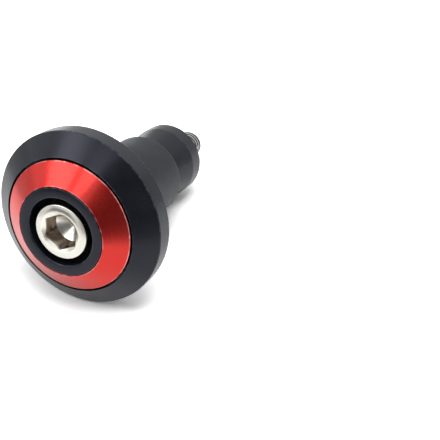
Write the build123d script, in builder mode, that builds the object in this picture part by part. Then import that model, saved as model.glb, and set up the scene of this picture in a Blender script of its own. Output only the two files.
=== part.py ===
from build123d import *
import math
import os

# Handlebar end weight: a turned disc with an inset accent ring, and an expanding plug behind it.
# Millimetres. The axis is Y: the face looks to -Y, the plug runs to +Y, and Y = 0 is the seat of the bar's end.

# Clamp screw, a socket head cap screw
thread_diameter = 6.0
screw_length = 48.6
head_diameter = 10.0
head_height = 6.0
head_chamfer = 0.2
socket_flats = 6.0
socket_depth = 3.3
socket_flare_diameter = 7.5
socket_flare_angle = 70.0
socket_point_angle = 59.0
socket_turn = 28.0
tip_chamfer = 0.7

# End body
head_clearance = 1.2
boss_wall = 1.88
cone_land = 3.85
cone_angle = 36.5
rim_width = 3.35
hole_clearance = 0.1
spigot_length = 2.5
spigot_chamfer = 0.3
rim_chamfer = 0.15
mouth_chamfer = 0.3
boss_chamfer = 0.12

# Accent ring, seated in a groove round the boss
ring_width = 3.9
ring_angle = 32.7
ring_recess = 0.19
ring_seat_depth = 1.2
ring_gap = 0.34
ring_fit = 0.08
ring_chamfer = 0.18

# Expander sleeve
sleeve_diameter = 16.6
sleeve_length = 19.4
sleeve_round = 0.6
lip_chamfer = 0.3
bore_clearance = 0.3

# Taper nut
taper_angle = 12.0
nut_step = 0.6
nut_rim_width = 3.7
nut_end_wall = 1.75
nut_engagement = 5.8
nut_chamfer = 0.2
nut_mouth_chamfer = 0.5
thread_clearance = 0.05
taper_clearance = 0.15

# Radii worked out from the screw outwards
thread_radius = thread_diameter / 2
head_radius = head_diameter / 2
hole_radius = thread_radius + hole_clearance
counterbore_radius = head_radius + head_clearance
boss_radius = counterbore_radius + boss_wall
ring_inner_radius = boss_radius + ring_fit
ring_outer_radius = ring_inner_radius + ring_width
groove_radius = ring_outer_radius + ring_gap
disc_radius = groove_radius + cone_land
sleeve_radius = sleeve_diameter / 2
nut_rim_radius = sleeve_radius - nut_step
nut_bore_radius = thread_radius + thread_clearance
nut_end_radius = nut_bore_radius + nut_end_wall

# Stations along the axis, worked out from the seat
cone_slope = math.tan(math.radians(cone_angle))
ring_slope = math.tan(math.radians(ring_angle))
taper_slope = math.tan(math.radians(taper_angle))
groove_edge_y = -rim_width - cone_land * cone_slope
groove_floor_y = groove_edge_y + ring_seat_depth
ring_edge_y = groove_edge_y - ring_gap * cone_slope + ring_recess
face_y = ring_edge_y - ring_width * ring_slope
head_seat_y = face_y + head_height
tip_y = head_seat_y + screw_length
sleeve_end_y = spigot_length + sleeve_length
nut_end_y = sleeve_end_y - nut_engagement
nut_rim_y = nut_end_y + (nut_rim_radius - nut_end_radius) / taper_slope
nut_back_y = nut_rim_y + nut_rim_width

# The sleeve's tapered socket follows the nut's taper, a clearance outside it
lip_radius = nut_end_radius + nut_engagement * taper_slope + taper_clearance
socket_apex_y = sleeve_end_y - lip_radius / taper_slope
lip_wall = sleeve_radius - lip_radius


def circles(builder, radius, station):
    """The builder's circular edges of this radius about the axis, at this station."""
    edges = builder.edges().filter_by(GeomType.CIRCLE)
    return edges.filter_by(
        lambda edge: math.isclose(edge.radius, radius, abs_tol=1e-4)
        and math.isclose(edge.arc_center.Y, station, abs_tol=1e-4)
    )


with BuildPart() as end_body:
    with BuildSketch():
        with BuildLine():
            Polyline(
                (hole_radius, head_seat_y),
                (counterbore_radius, head_seat_y),
                (counterbore_radius, face_y),
                (boss_radius, face_y),
                (boss_radius, groove_floor_y),
                (groove_radius, groove_floor_y),
                (groove_radius, groove_edge_y),
                (disc_radius, -rim_width),
                (disc_radius, 0),
                (sleeve_radius, 0),
                (sleeve_radius, spigot_length),
                (hole_radius, spigot_length),
                close=True,
            )
        make_face()
    revolve(axis=Axis.Y)
    chamfer(circles(end_body, disc_radius, -rim_width) + circles(end_body, disc_radius, 0), rim_chamfer)
    chamfer(circles(end_body, counterbore_radius, face_y), mouth_chamfer)
    chamfer(circles(end_body, boss_radius, face_y), boss_chamfer)
    chamfer(circles(end_body, sleeve_radius, spigot_length), spigot_chamfer)

with BuildPart() as accent_ring:
    with BuildSketch():
        with BuildLine():
            Polyline(
                (ring_inner_radius, groove_floor_y),
                (ring_outer_radius, groove_floor_y),
                (ring_outer_radius, ring_edge_y),
                (ring_inner_radius, face_y),
                close=True,
            )
        make_face()
    revolve(axis=Axis.Y)
    ring_edges = circles(accent_ring, ring_outer_radius, ring_edge_y)
    ring_edges += circles(accent_ring, ring_inner_radius, face_y)
    chamfer(ring_edges, ring_chamfer)

with BuildPart() as clamp_screw:
    with BuildSketch():
        with BuildLine():
            Polyline(
                (0, face_y),
                (head_radius, face_y),
                (head_radius, head_seat_y),
                (thread_radius, head_seat_y),
                (thread_radius, tip_y),
                (0, tip_y),
                close=True,
            )
        make_face()
    revolve(axis=Axis.Y)
    chamfer(circles(clamp_screw, head_radius, face_y), head_chamfer)
    chamfer(circles(clamp_screw, thread_radius, tip_y), tip_chamfer)
    # Hexagon socket, with its flared mouth and the drill point at its floor
    with BuildSketch(Plane(origin=(0, face_y, 0), x_dir=(1, 0, 0), z_dir=(0, -1, 0))):
        RegularPolygon(socket_flats / 2, side_count=6, major_radius=False, rotation=socket_turn)
    extrude(amount=-socket_depth, mode=Mode.SUBTRACT)
    with BuildSketch():
        flare_radius = socket_flare_diameter / 2
        flare_depth = flare_radius / math.tan(math.radians(socket_flare_angle))
        with BuildLine():
            Polyline((0, face_y), (flare_radius, face_y), (0, face_y + flare_depth), close=True)
        make_face()
    revolve(axis=Axis.Y, mode=Mode.SUBTRACT)
    with BuildSketch():
        socket_floor_y = face_y + socket_depth
        point_radius = socket_flats / 2
        point_depth = point_radius / math.tan(math.radians(socket_point_angle))
        with BuildLine():
            Polyline(
                (0, socket_floor_y),
                (point_radius, socket_floor_y),
                (0, socket_floor_y + point_depth),
                close=True,
            )
        make_face()
    revolve(axis=Axis.Y, mode=Mode.SUBTRACT)

with BuildPart() as expander_sleeve:
    with BuildSketch():
        with BuildLine():
            Polyline(
                (0, spigot_length),
                (sleeve_radius, spigot_length),
                (sleeve_radius, sleeve_end_y),
                (0, sleeve_end_y),
                close=True,
            )
        make_face()
    revolve(axis=Axis.Y)
    fillet(circles(expander_sleeve, sleeve_radius, sleeve_end_y), min(sleeve_round, lip_wall - 2 * lip_chamfer))
    with BuildSketch():
        with BuildLine():
            Polyline((0, socket_apex_y), (lip_radius, sleeve_end_y), (0, sleeve_end_y), close=True)
        make_face()
    revolve(axis=Axis.Y, mode=Mode.SUBTRACT)
    chamfer(circles(expander_sleeve, lip_radius, sleeve_end_y), lip_chamfer)
    with BuildSketch(Plane.XZ.offset(-spigot_length)):
        Circle(thread_radius + bore_clearance)
    extrude(amount=-sleeve_length, mode=Mode.SUBTRACT)

with BuildPart() as taper_nut:
    with BuildSketch():
        with BuildLine():
            Polyline(
                (nut_bore_radius, nut_end_y),
                (nut_end_radius, nut_end_y),
                (nut_rim_radius, nut_rim_y),
                (nut_rim_radius, nut_back_y),
                (nut_bore_radius, nut_back_y),
                close=True,
            )
        make_face()
    revolve(axis=Axis.Y)
    chamfer(circles(taper_nut, nut_rim_radius, nut_back_y), nut_chamfer)
    chamfer(circles(taper_nut, nut_bore_radius, nut_back_y), nut_mouth_chamfer)

pieces = {
    "end_body": end_body,
    "accent_ring": accent_ring,
    "clamp_screw": clamp_screw,
    "expander_sleeve": expander_sleeve,
    "taper_nut": taper_nut,
}

os.makedirs("parts", exist_ok=True)
for name, piece in pieces.items():
    piece.part.label = name
    export_step(piece.part, f"parts/{name}.step")
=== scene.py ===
import math

import bmesh
import bpy
from bpy.props import FloatProperty, FloatVectorProperty, IntProperty, PointerProperty
from mathutils import Matrix, Vector


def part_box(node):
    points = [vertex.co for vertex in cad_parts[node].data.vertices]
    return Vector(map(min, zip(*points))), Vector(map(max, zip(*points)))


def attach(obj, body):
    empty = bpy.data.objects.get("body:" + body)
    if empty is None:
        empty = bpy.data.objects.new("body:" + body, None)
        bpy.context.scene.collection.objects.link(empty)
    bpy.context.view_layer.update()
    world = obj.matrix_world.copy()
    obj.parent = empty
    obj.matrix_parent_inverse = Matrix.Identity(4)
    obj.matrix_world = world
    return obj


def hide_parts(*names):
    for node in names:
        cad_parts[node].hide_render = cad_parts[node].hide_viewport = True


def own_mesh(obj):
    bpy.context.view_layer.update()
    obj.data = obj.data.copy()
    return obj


bl_info = {
    "name": "Bar End Weight",
    "version": (1, 0, 0),
    "blender": (4, 5, 0),
    "location": "View3D > Sidebar > End Weight",
    "description": "Turns, cuts and finishes the pieces of a bar end weight and sets its studio",
    "category": "Object",
}

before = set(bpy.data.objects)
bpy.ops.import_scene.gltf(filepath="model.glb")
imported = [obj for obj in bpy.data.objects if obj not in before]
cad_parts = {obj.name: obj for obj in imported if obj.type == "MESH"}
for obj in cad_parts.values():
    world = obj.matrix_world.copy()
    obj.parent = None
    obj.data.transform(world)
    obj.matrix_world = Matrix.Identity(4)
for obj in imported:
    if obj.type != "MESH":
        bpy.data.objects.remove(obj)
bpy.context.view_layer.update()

MM = 0.001
AXIS = (0, 1, 0)

# Points closer than TINY are the same point; points closer than MERGE are joined
TINY = 1e-7
MERGE = 1e-6

# Steps of a full turn for the thread and for the tools that cut the screw
THREAD_STEPS = 64
TOOL_STEPS = 96

# Slopes of the head's crown in degrees, from its start to its edge
CROWN_SLOPES = range(0, 24, 3)

# Power of an area lamp for its radiance and area
LAMP_POWER = 4

body_low, body_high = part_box("end_body")
_, ring_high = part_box("accent_ring")
screw_low, screw_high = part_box("clamp_screw")
sleeve_low, sleeve_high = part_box("expander_sleeve")
nut_low, nut_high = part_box("taper_nut")
head_seat = screw_low.y + 6.0 * MM


def length(label, text, default):
    """A length in metres that a user may change."""
    return FloatProperty(
        name=label,
        description=text,
        default=default,
        precision=5,
        unit="LENGTH",
        subtype="DISTANCE",
    )


def angle(label, text, default):
    """An angle in radians that a user may change."""
    return FloatProperty(name=label, description=text, default=default, subtype="ANGLE")


def number(label, text, default):
    """A plain number that a user may change."""
    return FloatProperty(name=label, description=text, default=default)


def colour(label, text, default):
    """A linear colour that a user may change."""
    return FloatVectorProperty(
        name=label,
        description=text,
        default=default,
        size=3,
        min=0,
        max=1,
        subtype="COLOR",
    )


class BodySizes(bpy.types.PropertyGroup):
    """Sizes of the turned disc"""

    disc_radius: length("Disc radius", "Outside radius of the disc", body_high.x)
    rim_width: length("Rim width", "Straight rim behind the cone", 3.35 * MM)
    groove_radius: length("Groove radius", "Outside radius of the ring's groove", 12.4 * MM)
    groove_edge: length("Groove edge", "Station of the cone's inner edge", -6.1989 * MM)
    groove_floor: length("Groove floor", "Station of the groove's floor", ring_high.y)
    boss_radius: length("Boss radius", "Outside radius of the boss", 8.08 * MM)
    counterbore_radius: length("Counterbore radius", "Radius of the screw head's pocket", 6.2 * MM)
    counterbore_floor: length("Counterbore floor", "Station of the screw's seat", head_seat)
    hole_radius: length("Hole radius", "Radius of the hole for the screw", 3.1 * MM)
    spigot_radius: length("Spigot radius", "Radius of the spigot behind the disc", sleeve_high.x)
    edge_round: length("Edge round", "Size of the rounds on the disc's rim", 0.15 * MM)
    mouth_round: length("Mouth round", "Size of the round at the pocket's mouth", 0.3 * MM)
    boss_round: length("Boss round", "Size of the round on the boss's edge", 0.12 * MM)
    groove_round: length("Groove round", "Size of the round on the groove's edge", 0.06 * MM)
    spigot_round: length("Spigot round", "Size of the round on the spigot's end", 0.3 * MM)


class RingSizes(bpy.types.PropertyGroup):
    """Sizes of the accent ring"""

    inner_radius: length("Inner radius", "Radius of the ring's bore", 8.16 * MM)
    outer_radius: length("Outer radius", "Outside radius of the ring", ring_high.x)
    outer_edge: length("Outer edge", "Station of the ring's outer edge", -6.2604 * MM)
    edge_round: length("Edge round", "Size of the rounds on the ring's edges", 0.18 * MM)


class ScrewSizes(bpy.types.PropertyGroup):
    """Sizes of the socket head screw"""

    head_radius: length("Head radius", "Outside radius of the head", screw_high.x)
    head_seat: length("Head seat", "Station of the underside of the head", head_seat)
    head_round: length("Head round", "Size of the round on the head's edge", 0.15 * MM)
    crown_start: length("Crown start", "Radius where the head's face begins to fall away", 3.7 * MM)
    crown_radius: length("Crown radius", "Radius of the head's crowned edge", 3.07 * MM)
    shank_radius: length("Shank radius", "Outside radius of shank and thread", 3.0 * MM)
    root_radius: length("Root radius", "Radius at the root of the thread", 2.42 * MM)
    pitch: length("Pitch", "Pitch of the thread", 1.0 * MM)
    thread_length: length("Thread length", "Length of the thread from the tip", 24.0 * MM)
    tip_chamfer: length("Tip chamfer", "Chamfer at the tip", 0.7 * MM)
    socket_flats: length("Socket flats", "Width of the hexagon across its flats", 6.0 * MM)
    socket_depth: length("Socket depth", "Depth of the hexagon", 3.3 * MM)
    flare_radius: length("Flare radius", "Radius of the socket's flared mouth", 3.65 * MM)
    flare_angle: angle("Flare angle", "Angle of the flare's wall from the axis", math.radians(60))
    point_angle: angle("Point angle", "Angle of the floor's cone from the axis", math.radians(50))
    socket_turn: angle("Socket turn", "Angle of the hexagon's first corner", math.radians(28))


class SleeveSizes(bpy.types.PropertyGroup):
    """Sizes of the rubber sleeve"""

    radius: length("Radius", "Outside radius of the sleeve", sleeve_high.x)
    bore_radius: length("Bore radius", "Radius of the hole for the screw", 3.3 * MM)
    lip_radius: length("Lip radius", "Radius of the tapered socket at its mouth", 6.1828 * MM)
    socket_end: length("Socket end", "Station where the taper meets the bore", 6.1 * MM)
    end_round: length("End round", "Size of the round at the free end", 0.6 * MM)
    front_round: length("Front round", "Size of the round at the disc's end", 0.15 * MM)
    lip_round: length("Lip round", "Size of the round on the socket's lip", 0.3 * MM)
    draw: length("Draw", "How far the free end is pressed back with the nut", 4.0 * MM)


class NutSizes(bpy.types.PropertyGroup):
    """Sizes of the taper nut"""

    bore_radius: length("Bore radius", "Radius of the bore", 3.05 * MM)
    small_radius: length("Small radius", "Radius of the taper's small end", 4.8 * MM)
    rim_radius: length("Rim radius", "Outside radius of the rim", nut_high.x)
    rim_start: length("Rim start", "Station where the taper meets the rim", nut_high.y - 3.7 * MM)
    small_round: length("Small round", "Size of the round on the small end", 0.2 * MM)
    rim_round: length("Rim round", "Size of the round where taper and rim meet", 0.15 * MM)
    back_round: length("Back round", "Size of the round on the back edge", 0.2 * MM)
    mouth_chamfer: length("Mouth chamfer", "Chamfer of the bore at the back", 0.5 * MM)


class Finishes(bpy.types.PropertyGroup):
    """Colours of the finishes and fineness of the turning"""

    black: colour("Black", "Black anodised aluminium", (0.0045, 0.0052, 0.0072))
    red: colour("Red", "Red anodised aluminium", (0.70, 0.028, 0.022))
    # Lighter pink of the ring's edges: wear and a painted highlight
    worn_red_and_highlight: colour("Worn red", "Rubbed edges of the ring", (0.86, 0.4, 0.38))
    steel: colour("Steel", "Bright stainless steel", (0.9, 0.88, 0.8))
    # Painted shade on the socket's walls
    socket_shade: colour("Forged", "Dull steel in the socket", (0.32, 0.26, 0.225))
    rolled: colour("Rolled", "Rolled steel of the thread", (0.68, 0.68, 0.67))
    # Colour that darkens the thread's grooves
    groove_dark: colour("Grime", "Dirt in the thread", (0.03, 0.03, 0.03))
    rubber: colour("Rubber", "Moulded rubber", (0.0085, 0.0092, 0.012))
    steps: IntProperty(
        name="Steps",
        description="Steps of a full turn",
        default=192,
        min=24,
        max=360,
    )


class StudioSettings(bpy.types.PropertyGroup):
    """Floor, light and camera"""

    floor_tilt: angle(
        "Floor tilt",
        "Tilt of the floor that the disc and the nut rest on",
        math.atan2(body_high.x - nut_high.x, nut_high.y - 0.05 * MM),
    )
    floor_colour: colour("Floor", "Pale floor", (0.95, 0.95, 0.95))
    sky: number("Sky", "Light of the white surround", 0.42)
    floor_gain: number("Floor gain", "Colour of the floor as seen, over its own", 1.8)
    # Painted light on the floor that the gloss shows: brighter behind the disc, dimmer far off
    floor_behind_lit: number("Floor behind", "Mirrored floor behind the disc, over that before it", 1.2)
    floor_far_dimmed: number("Floor far", "Mirrored far floor, over that behind the disc", 0.92)
    key: number("Key", "Radiance of the soft lamp", 1.8)
    strip: number("Strip", "Radiance of the narrow lamp", 1.6)
    top: number("Top", "Radiance of the lamp overhead", 5.8)
    lens: number("Lens", "Focal length of the camera in millimetres", 51.852)
    place: FloatVectorProperty(
        name="Place",
        description="Place of the camera",
        default=(0.054979, -0.088628, 0.052112),
        precision=5,
        subtype="TRANSLATION",
    )
    aim: FloatVectorProperty(
        name="Aim",
        description="Point that the camera looks at",
        default=(0.026348, -0.003749, 0.007662),
        precision=5,
        subtype="TRANSLATION",
    )
    upright: FloatVectorProperty(
        name="Upright",
        description="Direction that is up in the picture",
        default=(-0.2488, 0.38215, 0.88998),
        precision=5,
        subtype="DIRECTION",
    )


# Modelling


def start_point(name):
    """Adds a plane, enters edit mode and merges it to one point at the origin."""
    bpy.ops.object.select_all(action="DESELECT")
    bpy.ops.mesh.primitive_plane_add(size=0.002, location=(0, 0, 0))
    piece = bpy.context.active_object
    piece.name = name
    piece.data.name = name
    bpy.ops.object.mode_set(mode="EDIT")
    bpy.ops.mesh.select_mode(type="VERT")
    bpy.ops.mesh.select_all(action="SELECT")
    bpy.ops.mesh.merge(type="CENTER")
    return piece


def draw_line(points, closed=True):
    """Extrudes the lone point along a line of places, and closes the line."""
    here = Vector((0, 0, 0))
    for index, place in enumerate(points):
        step = Vector(place) - here
        if index == 0:
            bpy.ops.transform.translate(value=step)
        else:
            bpy.ops.mesh.extrude_vertices_move(TRANSFORM_OT_translate={"value": step})
        here = Vector(place)
    if closed:
        ends = (Vector(points[0]), here)
        pick(bpy.context.active_object, lambda co: any((co - end).length < TINY for end in ends))
        bpy.ops.mesh.edge_face_add()


def section(points):
    """A half section's (radius, station) pairs as places in the XY plane."""
    return [(radius, station, 0) for radius, station in points]


def pick(piece, test):
    """Selects the points of a piece in edit mode whose place passes the test."""
    shape = bmesh.from_edit_mesh(piece.data)
    for vert in shape.verts:
        vert.select_set(False)
    shape.select_flush(False)
    for vert in shape.verts:
        if test(vert.co):
            vert.select_set(True)
    shape.select_flush(True)
    bmesh.update_edit_mesh(piece.data)


def round_corner(piece, corner, size, segments=5):
    """Rounds one corner of a half section; one segment leaves a chamfer."""
    place = Vector((corner[0], corner[1], 0))
    pick(piece, lambda co: (co - place).length < TINY)
    bpy.ops.mesh.bevel(
        offset_type="ABSOLUTE",
        offset=size,
        segments=segments,
        profile=0.5,
        affect="VERTICES",
    )


def turn(piece, steps):
    """Spins the half section round the axis and closes the seam."""
    bpy.ops.mesh.select_all(action="SELECT")
    bpy.ops.mesh.spin(
        steps=steps,
        angle=math.tau,
        use_auto_merge=False,
        center=(0, 0, 0),
        axis=AXIS,
    )
    bpy.ops.mesh.select_all(action="SELECT")
    bpy.ops.mesh.remove_doubles(threshold=MERGE)
    bpy.ops.mesh.normals_make_consistent(inside=False)
    bpy.ops.object.mode_set(mode="OBJECT")


def combine(piece, tool, operation):
    """Cuts, joins or trims the piece with a tool and removes the tool."""
    bpy.ops.object.select_all(action="DESELECT")
    piece.select_set(True)
    bpy.context.view_layer.objects.active = piece
    bpy.ops.object.modifier_add(type="BOOLEAN")
    cut = piece.modifiers[-1]
    cut.operation = operation
    cut.solver = "EXACT"
    cut.object = tool
    bpy.ops.object.modifier_apply(modifier=cut.name)
    bpy.data.objects.remove(tool)


def smooth(piece, limit=32):
    """Shades the piece smooth, with the large faces leading at the rounds."""
    bpy.ops.object.select_all(action="DESELECT")
    piece.select_set(True)
    bpy.context.view_layer.objects.active = piece
    bpy.ops.object.shade_smooth_by_angle(angle=math.radians(limit))
    bpy.ops.object.modifier_add(type="WEIGHTED_NORMAL")
    lead = piece.modifiers[-1]
    lead.keep_sharp = True
    lead.weight = 75
    bpy.ops.object.modifier_apply(modifier=lead.name)


def fit(piece, node, body, finish):
    """Puts the piece in the node's place, on its body, with its finish."""
    piece.data.materials.clear()
    piece.data.materials.append(finish)
    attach(piece, body)
    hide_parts(node)


# Finishes


def new_finish(name):
    """An empty material with its principled shader and output."""
    finish = bpy.data.materials.new(name)
    finish.use_nodes = True
    tree = finish.node_tree
    return finish, tree, tree.nodes["Principled BSDF"]


def add(tree, kind, links=None, **settings):
    """Adds a node, sets its settings and links or fills its inputs."""
    node = tree.nodes.new(kind)
    for key, value in settings.items():
        setattr(node, key, value)
    for key, value in (links or {}).items():
        if isinstance(value, bpy.types.NodeSocket):
            tree.links.new(value, node.inputs[key])
        else:
            node.inputs[key].default_value = value
    return node


def lathe_place(tree):
    """Object coordinates, and the radius and station of a point about the axis, in millimetres."""
    place = add(tree, "ShaderNodeTexCoord").outputs["Object"]
    parts = add(tree, "ShaderNodeSeparateXYZ", {0: place})
    across = add(tree, "ShaderNodeCombineXYZ", {"X": parts.outputs["X"], "Z": parts.outputs["Z"]})
    spoke = add(tree, "ShaderNodeVectorMath", {0: across.outputs[0]}, operation="LENGTH")
    radius = calculate(tree, "MULTIPLY", spoke.outputs["Value"], 1 / MM)
    station = calculate(tree, "MULTIPLY", parts.outputs["Y"], 1 / MM)
    return place, radius, station


def calculate(tree, operation, first, second):
    """One step of arithmetic."""
    return add(tree, "ShaderNodeMath", {0: first, 1: second}, operation=operation).outputs[0]


def sight(tree):
    """Whether a ray comes from the camera, and whether it comes from gloss or glass."""
    rays = add(tree, "ShaderNodeLightPath").outputs
    mirrored = calculate(tree, "MAXIMUM", rays["Is Glossy Ray"], rays["Is Transmission Ray"])
    return rays["Is Camera Ray"], mirrored


def remap(tree, value, low, high, start=0.25, stop=0.75):
    """Maps a value from its range to another, with soft ends."""
    inputs = {"Value": value, "From Min": start, "From Max": stop, "To Min": low, "To Max": high}
    return add(tree, "ShaderNodeMapRange", inputs, interpolation_type="SMOOTHSTEP").outputs[0]


def blend_colours(tree, share, first, second):
    """Mixes two colours by a share."""
    return add(tree, "ShaderNodeMix", {0: share, 6: first, 7: second}, data_type="RGBA").outputs[2]


def noise(tree, place, scale, detail, roughness=0.5):
    """A noise in three dimensions."""
    inputs = {"Vector": place, "Scale": scale, "Detail": detail, "Roughness": roughness}
    return add(tree, "ShaderNodeTexNoise", inputs).outputs[0]


def edge_wear_and_highlight(tree, place, radius, station, edges, reach, breaks):
    """Where a turned edge is lighter with wear and a painted highlight: near the given circles,
    broken up by a fine noise.
    """
    here = add(tree, "ShaderNodeCombineXYZ", {"X": radius, "Y": station})
    nearest = None
    for edge_radius, edge_station in edges:
        ends = {0: here.outputs[0], 1: (edge_radius / MM, edge_station / MM, 0)}
        gap = add(tree, "ShaderNodeVectorMath", ends, operation="DISTANCE").outputs["Value"]
        nearest = calculate(tree, "MINIMUM", nearest, gap) if nearest else gap
    rub_and_highlight = remap(tree, nearest, 1.0, 0.0, 0.0, reach)
    chips = noise(tree, place, 900.0, 3.0)
    return calculate(tree, "MULTIPLY", rub_and_highlight, remap(tree, chips, 0.0, 1.0, *breaks))


def turned_finish(name, base, tint, worn_and_lit, edges, breaks, roughness, lines, height, constants):
    """Turned metal: fine lathe lines, uneven dye, uneven gloss, and edges lighter with wear and a
    painted highlight.
    """
    finish, tree, shader = new_finish(name)
    for key, value in constants.items():
        shader.inputs[key].default_value = value
    place, radius, station = lathe_place(tree)
    path = calculate(tree, "ADD", radius, station)
    tool_path = {"W": path, "Scale": lines, "Detail": 2.0}
    feed = add(tree, "ShaderNodeTexNoise", tool_path, noise_dimensions="1D").outputs[0]
    cloud = noise(tree, place, 260.0, 4.0)
    grain = noise(tree, place, 9000.0, 2.0)
    dye = blend_colours(tree, remap(tree, cloud, 0.0, 1.0), (*base, 1), (*tint, 1))
    # Edges lighter: wear and a painted highlight
    rub_and_highlight = edge_wear_and_highlight(tree, place, radius, station, edges, reach=0.3, breaks=breaks)
    tree.links.new(blend_colours(tree, rub_and_highlight, dye, (*worn_and_lit, 1)), shader.inputs["Base Color"])
    half = calculate(tree, "MULTIPLY", calculate(tree, "ADD", cloud, feed), 0.5)
    tree.links.new(remap(tree, half, *roughness), shader.inputs["Roughness"])
    relief = calculate(tree, "ADD", feed, grain)
    bump = add(tree, "ShaderNodeBump", {"Height": relief, "Strength": 1.0, "Distance": height})
    tree.links.new(bump.outputs[0], shader.inputs["Normal"])
    around = add(tree, "ShaderNodeTangent", direction_type="RADIAL", axis="Y")
    tree.links.new(around.outputs[0], shader.inputs["Tangent"])
    return finish, tree, shader


def black_finish(name, base, edges, lines, height):
    """Black anodised aluminium with a blue-grey gloss, lighter grey along its edges with wear and a
    painted highlight.
    """
    tint = tuple(channel * 1.6 for channel in base)
    worn_and_lit = tuple(channel * 9 for channel in base)
    gloss = {
        "IOR": 1.5,
        "Specular Tint": (0.63, 0.65, 0.8, 1.0),
        "Anisotropic": 0.6,
        "Anisotropic Rotation": 0.25,
    }
    breaks = (0.4, 0.65)
    roughness = (0.18, 0.28)
    return turned_finish(name, base, tint, worn_and_lit, edges, breaks, roughness, lines, height, gloss)[0]


def steel_finish(name, looks, size, face, start):
    """Bright stainless steel, with painted shade on the socket's walls and the thread darker in its
    grooves.
    """
    tint = tuple(channel * 0.9 for channel in looks.steel)
    # Brighter head and flare edges: wear and a painted highlight
    worn_and_lit = tuple(min(1.0, channel * 1.1) for channel in looks.steel)
    edges = [(size.head_radius, face), (size.flare_radius, face)]
    gloss = {"Metallic": 1.0, "Anisotropic": 0.3, "Anisotropic Rotation": 0.25}
    finish, tree, shader = turned_finish(
        name,
        looks.steel,
        tint,
        worn_and_lit,
        edges,
        breaks=(0.3, 0.6),
        roughness=(0.16, 0.28),
        lines=9.0,
        height=0.000002,
        constants=gloss,
    )
    clean = shader.inputs["Base Color"].links[0].from_socket
    _, radius, station = lathe_place(tree)

    # Millimetres from here on: the walls of the socket, then the grooves of the thread
    walls = (3.35, 3.6)
    mouth = (face / MM + 0.3, face / MM + 0.8)
    floor = (face + size.socket_depth) / MM
    flank = (size.root_radius / MM + 0.42, size.shank_radius / MM - 0.01)
    # The socket's walls, below the mouth and above the floor, get painted shade
    inside = remap(tree, radius, 1.0, 0.0, *walls)
    sunk = remap(tree, station, 0.0, 1.0, *mouth)
    bottom = remap(tree, station, 1.0, 0.0, floor, floor + 0.05)
    socket = calculate(tree, "MULTIPLY", inside, calculate(tree, "MULTIPLY", sunk, bottom))
    # The thread darker in its grooves
    groove = remap(tree, radius, 1.0, 0.0, *flank)
    threaded = remap(tree, station, 0.0, 1.0, start / MM - 0.2, start / MM)

    socket_shading = calculate(tree, "MULTIPLY", socket, 0.9)
    groove_darkening = calculate(tree, "MULTIPLY", calculate(tree, "MULTIPLY", groove, threaded), 0.95)
    socket_shade = blend_colours(tree, socket_shading, clean, (*looks.socket_shade, 1))
    rolled = blend_colours(tree, threaded, socket_shade, (*looks.rolled, 1))
    grooves_darkened = blend_colours(tree, groove_darkening, rolled, (*looks.groove_dark, 1))
    tree.links.new(grooves_darkened, shader.inputs["Base Color"])
    return finish


def rubber_finish(name, base):
    """Moulded rubber: a matt, finely pitted skin with a dusty bloom."""
    finish, tree, shader = new_finish(name)
    place = add(tree, "ShaderNodeTexCoord").outputs["Object"]
    shader.inputs["IOR"].default_value = 1.45
    shader.inputs["Specular Tint"].default_value = (0.84, 0.88, 1.0, 1.0)
    shader.inputs["Sheen Weight"].default_value = 0.05
    shader.inputs["Sheen Roughness"].default_value = 0.5
    pits = noise(tree, place, 5200.0, 3.0)
    bloom = noise(tree, place, 320.0, 5.0, roughness=0.6)
    dusty = tuple(channel * 1.35 for channel in base)
    skin = blend_colours(tree, remap(tree, bloom, 0.0, 1.0), (*base, 1), (*dusty, 1))
    tree.links.new(skin, shader.inputs["Base Color"])
    tree.links.new(remap(tree, bloom, 0.42, 0.54), shader.inputs["Roughness"])
    bump = add(tree, "ShaderNodeBump", {"Height": pits, "Strength": 1.0, "Distance": 0.00001})
    tree.links.new(bump.outputs[0], shader.inputs["Normal"])
    return finish


# Pieces


class ENDWEIGHT_OT_end_body(bpy.types.Operator):
    """Turns the disc with its boss, groove and spigot"""

    bl_idname = "endweight.end_body"
    bl_label = "End Body"

    def execute(self, context):
        size = context.scene.endweight_body
        looks = context.scene.endweight_finishes
        face = body_low.y
        back = body_high.y
        points = [
            (size.hole_radius, size.counterbore_floor),
            (size.counterbore_radius, size.counterbore_floor),
            (size.counterbore_radius, face),
            (size.boss_radius, face),
            (size.boss_radius, size.groove_floor),
            (size.groove_radius, size.groove_floor),
            (size.groove_radius, size.groove_edge),
            (size.disc_radius, -size.rim_width),
            (size.disc_radius, 0),
            (size.spigot_radius, 0),
            (size.spigot_radius, back),
            (size.hole_radius, back),
        ]
        piece = start_point("body_turned")
        draw_line(section(points))
        round_corner(piece, points[2], size.mouth_round)
        round_corner(piece, points[3], size.boss_round, 4)
        round_corner(piece, points[6], size.groove_round, 4)
        round_corner(piece, points[7], size.edge_round, 6)
        round_corner(piece, points[8], size.edge_round, 6)
        round_corner(piece, points[10], size.spigot_round)
        turn(piece, looks.steps)
        smooth(piece)
        # Edges that take wear and a painted highlight
        rubbed_and_highlit = [points[index] for index in (2, 3, 6, 7)]
        finish = black_finish(
            "black_anodised_disc",
            looks.black,
            rubbed_and_highlit,
            lines=7.0,
            height=0.0000012,
        )
        fit(piece, "end_body", "weight", finish)
        return {"FINISHED"}


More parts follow.
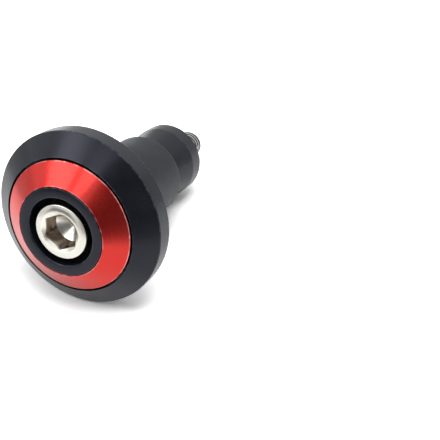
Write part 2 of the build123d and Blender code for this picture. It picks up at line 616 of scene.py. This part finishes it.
class ENDWEIGHT_OT_accent_ring(bpy.types.Operator):
    """Turns the coned ring that sits in the groove"""

    bl_idname = "endweight.accent_ring"
    bl_label = "Accent Ring"

    def execute(self, context):
        size = context.scene.endweight_ring
        body = context.scene.endweight_body
        looks = context.scene.endweight_finishes
        points = [
            (size.inner_radius, body.groove_floor),
            (size.outer_radius, body.groove_floor),
            (size.outer_radius, size.outer_edge),
            (size.inner_radius, body_low.y),
        ]
        piece = start_point("ring_turned")
        draw_line(section(points))
        round_corner(piece, points[2], size.edge_round)
        round_corner(piece, points[3], size.edge_round)
        turn(piece, looks.steps)
        smooth(piece)
        tint = (looks.red[0] * 0.93, looks.red[1] * 1.3, looks.red[2] * 1.3)
        gloss = {
            "Metallic": 1.0,
            "Anisotropic": 0.6,
            "Anisotropic Rotation": 0.25,
            "Coat Weight": 0.36,
            "Coat Roughness": 0.1,
        }
        finish = turned_finish(
            "red_anodised_ring",
            looks.red,
            tint,
            looks.worn_red_and_highlight,
            points[2:],
            breaks=(0.35, 0.65),
            roughness=(0.2, 0.28),
            lines=8.0,
            height=0.000001,
            constants=gloss,
        )[0]
        fit(piece, "accent_ring", "weight", finish)
        return {"FINISHED"}


class ENDWEIGHT_OT_clamp_screw(bpy.types.Operator):
    """Turns the screw, cuts its hexagon socket and winds its thread"""

    bl_idname = "endweight.clamp_screw"
    bl_label = "Clamp Screw"

    def thread(self, size, start, tip):
        """Winds one pitch of thread to the full length, cuts its ends flat and chamfers its tip."""
        pitch = size.pitch
        crest = size.shank_radius
        root = size.root_radius
        shoulder = crest - 0.03 * MM
        first = start - 1.5 * pitch
        # Radius, and station as a share of the pitch
        profile = [
            (root, 0.0),
            (root, 0.2),
            (shoulder, 0.53),
            (crest, 0.57),
            (crest, 0.63),
            (shoulder, 0.67),
            (root, 1.0),
        ]
        points = [(radius, first + share * pitch) for radius, share in profile]
        piece = start_point("thread_tool")
        draw_line(section(points), closed=False)
        bpy.ops.object.mode_set(mode="OBJECT")
        bpy.ops.object.modifier_add(type="SCREW")
        wind = piece.modifiers[-1]
        wind.axis = "Y"
        wind.angle = math.tau
        wind.screw_offset = pitch
        wind.iterations = math.ceil((tip - start) / pitch) + 3
        wind.steps = THREAD_STEPS
        wind.render_steps = THREAD_STEPS
        wind.use_merge_vertices = True
        wind.merge_threshold = MERGE
        bpy.ops.object.modifier_apply(modifier=wind.name)
        bpy.ops.object.mode_set(mode="EDIT")
        bpy.ops.mesh.select_all(action="SELECT")
        bpy.ops.mesh.remove_doubles(threshold=MERGE)
        for station, beyond in ((start, "clear_inner"), (tip, "clear_outer")):
            bpy.ops.mesh.select_all(action="SELECT")
            bpy.ops.mesh.bisect(
                plane_co=(0, station, 0),
                plane_no=AXIS,
                use_fill=True,
                threshold=TINY,
                **{beyond: True},
            )
        bpy.ops.mesh.select_all(action="SELECT")
        bpy.ops.mesh.normals_make_consistent(inside=False)
        bpy.ops.object.mode_set(mode="OBJECT")
        over = 0.2 * MM
        envelope = start_point("tip_tool")
        chamfer = size.tip_chamfer
        draw_line(
            section(
                [
                    (0, start - over),
                    (crest + over, start - over),
                    (crest + over, tip - chamfer - over),
                    (crest - chamfer - over, tip + over),
                    (0, tip + over),
                ]
            ),
            closed=False,
        )
        turn(envelope, TOOL_STEPS)
        combine(piece, envelope, "INTERSECT")
        return piece

    def execute(self, context):
        size = context.scene.endweight_screw
        looks = context.scene.endweight_finishes
        face = screw_low.y
        tip = screw_high.y
        start = tip - size.thread_length
        crown = []
        for slope in CROWN_SLOPES:
            lean = math.radians(slope)
            across = size.crown_start + size.crown_radius * math.sin(lean)
            crown.append((across, face + size.crown_radius * (1 - math.cos(lean))))
        land = 0.05 * MM
        runout = 0.2 * MM
        overlap = 0.5 * MM
        core = size.root_radius - 0.1 * MM
        corner = (size.head_radius, crown[-1][1] + land)
        points = [
            (0, face),
            *crown,
            corner,
            (size.head_radius, size.head_seat),
            (size.shank_radius, size.head_seat),
            (size.shank_radius, start - runout),
            (core, start + overlap),
            (0, start + overlap),
        ]
        piece = start_point("screw_cut")
        draw_line(section(points), closed=False)
        round_corner(piece, corner, size.head_round, 6)
        turn(piece, looks.steps)
        combine(piece, self.thread(size, start, tip), "UNION")

        floor = face + size.socket_depth
        reach = size.socket_flats / 2 / math.cos(math.pi / 6)
        bearings = [size.socket_turn + index * math.pi / 3 for index in range(6)]
        hexagon = start_point("hexagon_tool")
        above = face - 1 * MM
        draw_line([(reach * math.cos(way), above, reach * math.sin(way)) for way in bearings])
        bpy.ops.mesh.select_all(action="SELECT")
        bpy.ops.mesh.edge_face_add()
        bpy.ops.mesh.extrude_region_move(TRANSFORM_OT_translate={"value": (0, floor - above, 0)})
        bpy.ops.mesh.select_all(action="SELECT")
        bpy.ops.mesh.normals_make_consistent(inside=False)
        bpy.ops.object.mode_set(mode="OBJECT")
        combine(piece, hexagon, "DIFFERENCE")

        flare = start_point("flare_tool")
        rise = 0.5 * MM
        depth = size.flare_radius / math.tan(size.flare_angle)
        wide = size.flare_radius + rise * math.tan(size.flare_angle)
        draw_line(section([(0, face - rise), (wide, face - rise), (0, face + depth)]), closed=False)
        turn(flare, looks.steps)
        combine(piece, flare, "DIFFERENCE")

        drill = start_point("drill_tool")
        inside = size.socket_flats / 2 - 0.01 * MM
        point = inside / math.tan(size.point_angle)
        # A ring short of the tip keeps the cone's shading from turning towards the axis
        near_tip = 0.08
        cone = [
            (0, floor - rise),
            (inside, floor),
            (near_tip * inside, floor + (1 - near_tip) * point),
            (0, floor + point),
        ]
        draw_line(section(cone), closed=False)
        turn(drill, TOOL_STEPS)
        combine(piece, drill, "DIFFERENCE")

        smooth(piece, 28)
        finish = steel_finish("bright_steel_screw", looks, size, face, start)
        fit(piece, "clamp_screw", "screw", finish)
        return {"FINISHED"}


class ENDWEIGHT_OT_expander_sleeve(bpy.types.Operator):
    """Turns the rubber sleeve with its tapered socket"""

    bl_idname = "endweight.expander_sleeve"
    bl_label = "Expander Sleeve"

    def execute(self, context):
        size = context.scene.endweight_sleeve
        looks = context.scene.endweight_finishes
        front = sleeve_low.y
        end = sleeve_high.y
        points = [
            (size.bore_radius, front),
            (size.radius, front),
            (size.radius, end),
            (size.lip_radius, end),
            (size.bore_radius, size.socket_end),
        ]
        piece = start_point("sleeve_moulded")
        draw_line(section(points))
        round_corner(piece, points[1], size.front_round, 4)
        round_corner(piece, points[2], size.end_round, 10)
        round_corner(piece, points[3], size.lip_round, 4)
        turn(piece, looks.steps)
        smooth(piece)
        finish = rubber_finish("sleeve_rubber_skin", looks.rubber)
        fit(piece, "expander_sleeve", "weight", finish)
        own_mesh(piece)
        return {"FINISHED"}


class ENDWEIGHT_OT_taper_nut(bpy.types.Operator):
    """Turns the taper nut"""

    bl_idname = "endweight.taper_nut"
    bl_label = "Taper Nut"

    def execute(self, context):
        size = context.scene.endweight_nut
        looks = context.scene.endweight_finishes
        small = nut_low.y
        back = nut_high.y
        points = [
            (size.bore_radius, small),
            (size.small_radius, small),
            (size.rim_radius, size.rim_start),
            (size.rim_radius, back),
            (size.bore_radius, back),
        ]
        piece = start_point("nut_turned")
        draw_line(section(points))
        round_corner(piece, points[1], size.small_round)
        round_corner(piece, points[2], size.rim_round, 4)
        round_corner(piece, points[3], size.back_round, 6)
        round_corner(piece, points[4], size.mouth_chamfer, 1)
        turn(piece, looks.steps)
        smooth(piece)
        finish = black_finish(
            "black_anodised_nut",
            looks.black,
            points[1:4],
            lines=2.6,
            height=0.000008,
        )
        fit(piece, "taper_nut", "nut", finish)
        return {"FINISHED"}


class ENDWEIGHT_OT_studio(bpy.types.Operator):
    """Sets the surround, the floor, the lamps, the cards that paint reflections in the gloss and
    the camera
    """

    bl_idname = "endweight.studio"
    bl_label = "Studio"

    def execute(self, context):
        scene = context.scene
        studio = scene.endweight_studio
        scene.view_settings.view_transform = "Standard"
        tilt = Matrix.Rotation(studio.floor_tilt, 3, "X")
        up = tilt @ Vector((0, 0, 1))
        front = tilt @ Vector((0, -1, 0))
        side = Vector((1, 0, 0))
        centre = Vector((0, -0.006, 0))
        low = Vector((0, -0.15 * MM, -body_high.x))

        world = bpy.data.worlds.new("studio_surround")
        world.use_nodes = True
        scene.world = world
        surround = world.node_tree.nodes["Background"]
        surround.inputs["Color"].default_value = (1, 1, 1, 1)
        looked_at, mirrored = sight(world.node_tree)
        seen = calculate(world.node_tree, "MAXIMUM", looked_at, mirrored)
        extra = calculate(world.node_tree, "MULTIPLY", seen, 1.0 - studio.sky)
        strength = calculate(world.node_tree, "ADD", extra, studio.sky)
        world.node_tree.links.new(strength, surround.inputs["Strength"])

        def aimed(place, target, upright=up):
            """Turns a thing's own -Z towards a target, with its top along upright."""
            back = (place - target).normalized()
            right = upright.cross(back).normalized()
            turned = Matrix((right, back.cross(right), back)).transposed().to_4x4()
            return Matrix.Translation(place) @ turned

        def around(azimuth, elevation, distance):
            """A place round the disc: degrees right of its front, degrees above the floor."""
            flat = math.radians(azimuth)
            rise = math.radians(elevation)
            level = math.cos(flat) * front + math.sin(flat) * side
            return centre + distance * (math.cos(rise) * level + math.sin(rise) * up)

        # Where the floor is behind the disc, where it is far off, and where it fades out
        floor_size = 1.6
        behind_disc = (-0.009, -0.002)
        far_off = (0.02, 0.06)
        fade_out = (0.09, 0.22)
        bpy.ops.object.select_all(action="DESELECT")
        bpy.ops.mesh.primitive_plane_add(
            size=floor_size,
            location=low,
            rotation=(studio.floor_tilt, 0, 0),
        )
        floor = context.active_object
        floor.name = "studio_floor"
        paint = bpy.data.materials.new("pale_floor")
        paint.use_nodes = True
        tree = paint.node_tree
        tree.nodes.clear()
        looked_at, mirrored = sight(tree)
        plain = Vector(studio.floor_colour)
        place = add(tree, "ShaderNodeTexCoord").outputs["Object"]
        back = add(tree, "ShaderNodeSeparateXYZ", {0: place}).outputs["Y"]
        # Painted light: the floor that the gloss shows is brighter behind the disc and dimmer far
        # off
        behind = remap(tree, back, 0.0, 1.0, *behind_disc)
        far = remap(tree, back, 0.0, 1.0, *far_off)
        bright = plain * studio.floor_behind_lit
        gloss = blend_colours(tree, behind, (*plain, 1), (*bright, 1))
        gloss = blend_colours(tree, far, gloss, (*bright * studio.floor_far_dimmed, 1))
        shade = blend_colours(tree, mirrored, (*plain, 1), gloss)
        shade = blend_colours(tree, looked_at, shade, (*plain * studio.floor_gain, 1))
        matte = add(tree, "ShaderNodeBsdfDiffuse", {"Color": shade})
        clear = add(tree, "ShaderNodeBsdfTransparent")
        away = add(tree, "ShaderNodeVectorMath", {0: place}, operation="LENGTH").outputs["Value"]
        faded = remap(tree, away, 0.0, 1.0, *fade_out)
        below = add(tree, "ShaderNodeNewGeometry").outputs["Backfacing"]
        gone = calculate(tree, "MAXIMUM", below, faded)
        both = add(tree, "ShaderNodeMixShader", {0: gone, 1: matte.outputs[0], 2: clear.outputs[0]})
        add(tree, "ShaderNodeOutputMaterial", {"Surface": both.outputs[0]})
        floor.data.materials.append(paint)

        # Name, azimuth and elevation in degrees, width, height, radiance
        lamp_distance = 0.3
        lamps = [
            ("soft_lamp", -48, 44, 0.133, 0.160, studio.key),
            ("strip_lamp", -8, 52, 0.075, 0.060, studio.strip),
            ("top_lamp", 95, 80, 0.170, 0.170, studio.top),
        ]
        for name, azimuth, elevation, width, height, radiance in lamps:
            bpy.ops.object.light_add(type="AREA")
            lamp = context.active_object
            lamp.name = name
            lamp.data.shape = "RECTANGLE"
            lamp.data.size = width
            lamp.data.size_y = height
            lamp.data.energy = radiance * LAMP_POWER * width * height
            lamp.matrix_world = aimed(around(azimuth, elevation, lamp_distance), centre)
        bpy.data.objects["top_lamp"].visible_glossy = False

        def hang(piece, name, shade, start, stop):
            """Makes a card glow as a painted reflection, clear below start on its own Y; it shows
            only in gloss.
            """
            piece.name = name
            glow_sheet = bpy.data.materials.new(name + "_cloth")
            glow_sheet.use_nodes = True
            tree = glow_sheet.node_tree
            tree.nodes.clear()
            place = add(tree, "ShaderNodeTexCoord").outputs["Object"]
            rise = add(tree, "ShaderNodeSeparateXYZ", {0: place}).outputs["Y"]
            reflected_glow = add(tree, "ShaderNodeEmission", {"Color": (*shade, 1)})
            clear = add(tree, "ShaderNodeBsdfTransparent")
            share = remap(tree, rise, 0.0, 1.0, start, stop)
            mix = {0: share, 1: clear.outputs[0], 2: reflected_glow.outputs[0]}
            both = add(tree, "ShaderNodeMixShader", mix)
            add(tree, "ShaderNodeOutputMaterial", {"Surface": both.outputs[0]})
            piece.data.materials.append(glow_sheet)
            piece.visible_camera = False
            piece.visible_diffuse = False
            piece.visible_shadow = False

        def card(width, height, lean, azimuth, elevation, distance):
            """Cuts a card, its foot wider by lean on the left, and turns it to the disc."""
            bpy.ops.mesh.primitive_plane_add(size=1)
            piece = context.active_object
            bpy.ops.object.mode_set(mode="EDIT")
            bpy.ops.mesh.select_all(action="SELECT")
            bpy.ops.transform.resize(value=(width, height, 1))
            pick(piece, lambda co: co.x < 0 and co.y < 0)
            bpy.ops.transform.translate(value=(-lean, 0, 0))
            bpy.ops.object.mode_set(mode="OBJECT")
            piece.matrix_world = aimed(around(azimuth, elevation, distance), centre)
            return piece

        # Painted reflections: dark and glowing sheets that only the gloss shows
        # Name, (width, height, lean), (azimuth, elevation, distance), shade, fade
        unfaded = (-2.0, -1.0)
        cards = [
            ("dark_flag", (0.035, 0.09, 0.0095), (44.95, 22, 0.052), (0.14,) * 3, (-0.055, -0.005)),
            ("front_card", (0.05, 0.039, 0.0), (-28, 6, 0.1), (0.1,) * 3, unfaded),
            ("side_card", (0.03, 0.045, 0.0), (8, 8, 0.1), (0.34, 0.25, 0.23), unfaded),
            ("back_card", (0.05, 0.023, 0.0), (-143, -3.5, 0.1), (1.9,) * 3, unfaded),
        ]
        for name, cut, stand, shade, fade in cards:
            hang(card(*cut, *stand), name, shade, *fade)

        # A glowing grey wall that only the gloss shows: a painted reflection
        wall_radius = 0.12
        wall_height = 0.06
        wall_middle = 0.02
        bpy.ops.mesh.primitive_cylinder_add(
            vertices=96,
            radius=wall_radius,
            depth=wall_height,
            end_fill_type="NOTHING",
        )
        wall = context.active_object
        wall.matrix_world = Matrix.Translation(low + wall_middle * up) @ tilt.to_4x4()
        hang(wall, "grey_wall", (0.7,) * 3, *unfaded)

        bpy.ops.object.camera_add()
        camera = context.active_object
        camera.name = "photo_camera"
        camera.data.lens = studio.lens
        camera.data.sensor_width = 36
        camera.data.clip_start = 0.001
        stand = Vector(studio.place)
        camera.matrix_world = aimed(stand, Vector(studio.aim), Vector(studio.upright))
        scene.camera = camera
        return {"FINISHED"}


class ENDWEIGHT_PT_sidebar(bpy.types.Panel):
    """Lists the pieces and the studio"""

    bl_idname = "ENDWEIGHT_PT_sidebar"
    bl_label = "Bar End Weight"
    bl_space_type = "VIEW_3D"
    bl_region_type = "UI"
    bl_category = "End Weight"

    def draw(self, context):
        for kind in operators:
            self.layout.operator(kind.bl_idname)


groups = {
    "endweight_body": BodySizes,
    "endweight_ring": RingSizes,
    "endweight_screw": ScrewSizes,
    "endweight_sleeve": SleeveSizes,
    "endweight_nut": NutSizes,
    "endweight_finishes": Finishes,
    "endweight_studio": StudioSettings,
}

operators = [
    ENDWEIGHT_OT_end_body,
    ENDWEIGHT_OT_accent_ring,
    ENDWEIGHT_OT_clamp_screw,
    ENDWEIGHT_OT_expander_sleeve,
    ENDWEIGHT_OT_taper_nut,
    ENDWEIGHT_OT_studio,
]


def register():
    for name, group in groups.items():
        bpy.utils.register_class(group)
        setattr(bpy.types.Scene, name, PointerProperty(type=group))
    for kind in operators:
        bpy.utils.register_class(kind)
    bpy.utils.register_class(ENDWEIGHT_PT_sidebar)


def unregister():
    bpy.utils.unregister_class(ENDWEIGHT_PT_sidebar)
    for kind in reversed(operators):
        bpy.utils.unregister_class(kind)
    for name, group in groups.items():
        delattr(bpy.types.Scene, name)
        bpy.utils.unregister_class(group)


def main():
    register()
    bpy.ops.endweight.end_body()
    bpy.ops.endweight.accent_ring()
    bpy.ops.endweight.clamp_screw()
    bpy.ops.endweight.expander_sleeve()
    bpy.ops.endweight.taper_nut()
    bpy.ops.endweight.studio()


if __name__ == "__main__":
    main()
